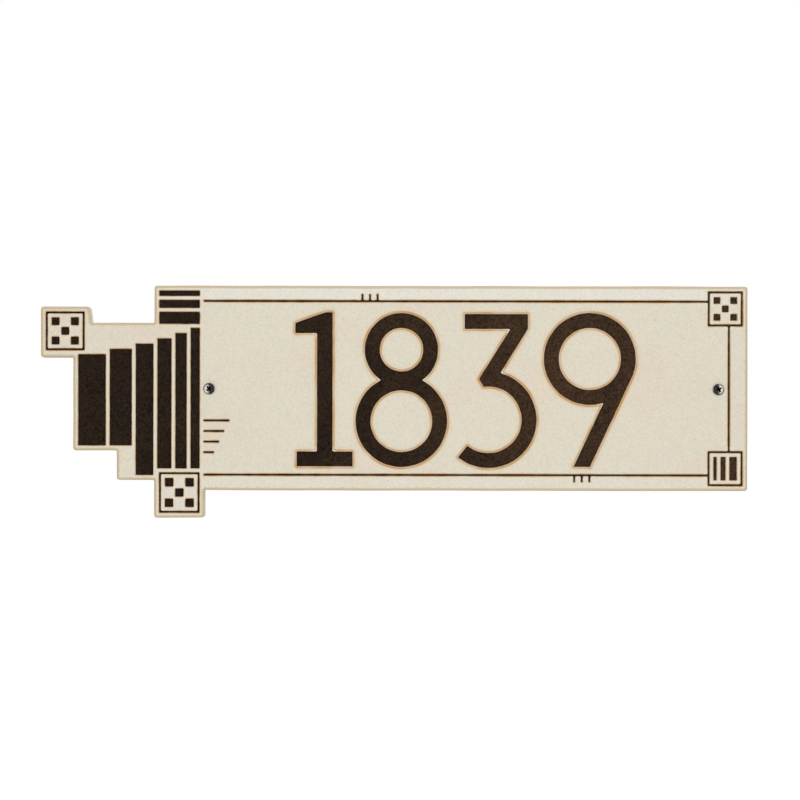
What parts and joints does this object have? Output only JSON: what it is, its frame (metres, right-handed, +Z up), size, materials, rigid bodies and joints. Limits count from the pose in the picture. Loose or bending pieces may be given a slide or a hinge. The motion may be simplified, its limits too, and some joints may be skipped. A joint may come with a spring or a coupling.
{
  "type": "house number plaque",
  "caption": "Glazed stoneware house number plaque with a stepped end, recessed dark numerals, a ruled border and striped ornament, fixed to a wall by pan head screws.",
  "frame": {"origin": "on the wall plane, at the back of the slab, midway between the two screws", "axes": "+X to the reader's right along the numerals, +Y into the wall, +Z up"},
  "size_m": [0.4667, 0.0345, 0.1533],
  "materials": {
    "cream_glaze": "satin",
    "dark_glaze": "satin",
    "screw_steel": "satin"
  },
  "bodies": {
    "root": {"plaque": "cream_glaze", "numeral_glaze": "dark_glaze", "ornament_glaze": "dark_glaze", "mounting_screws": "screw_steel"}
  },
  "joints": []
}
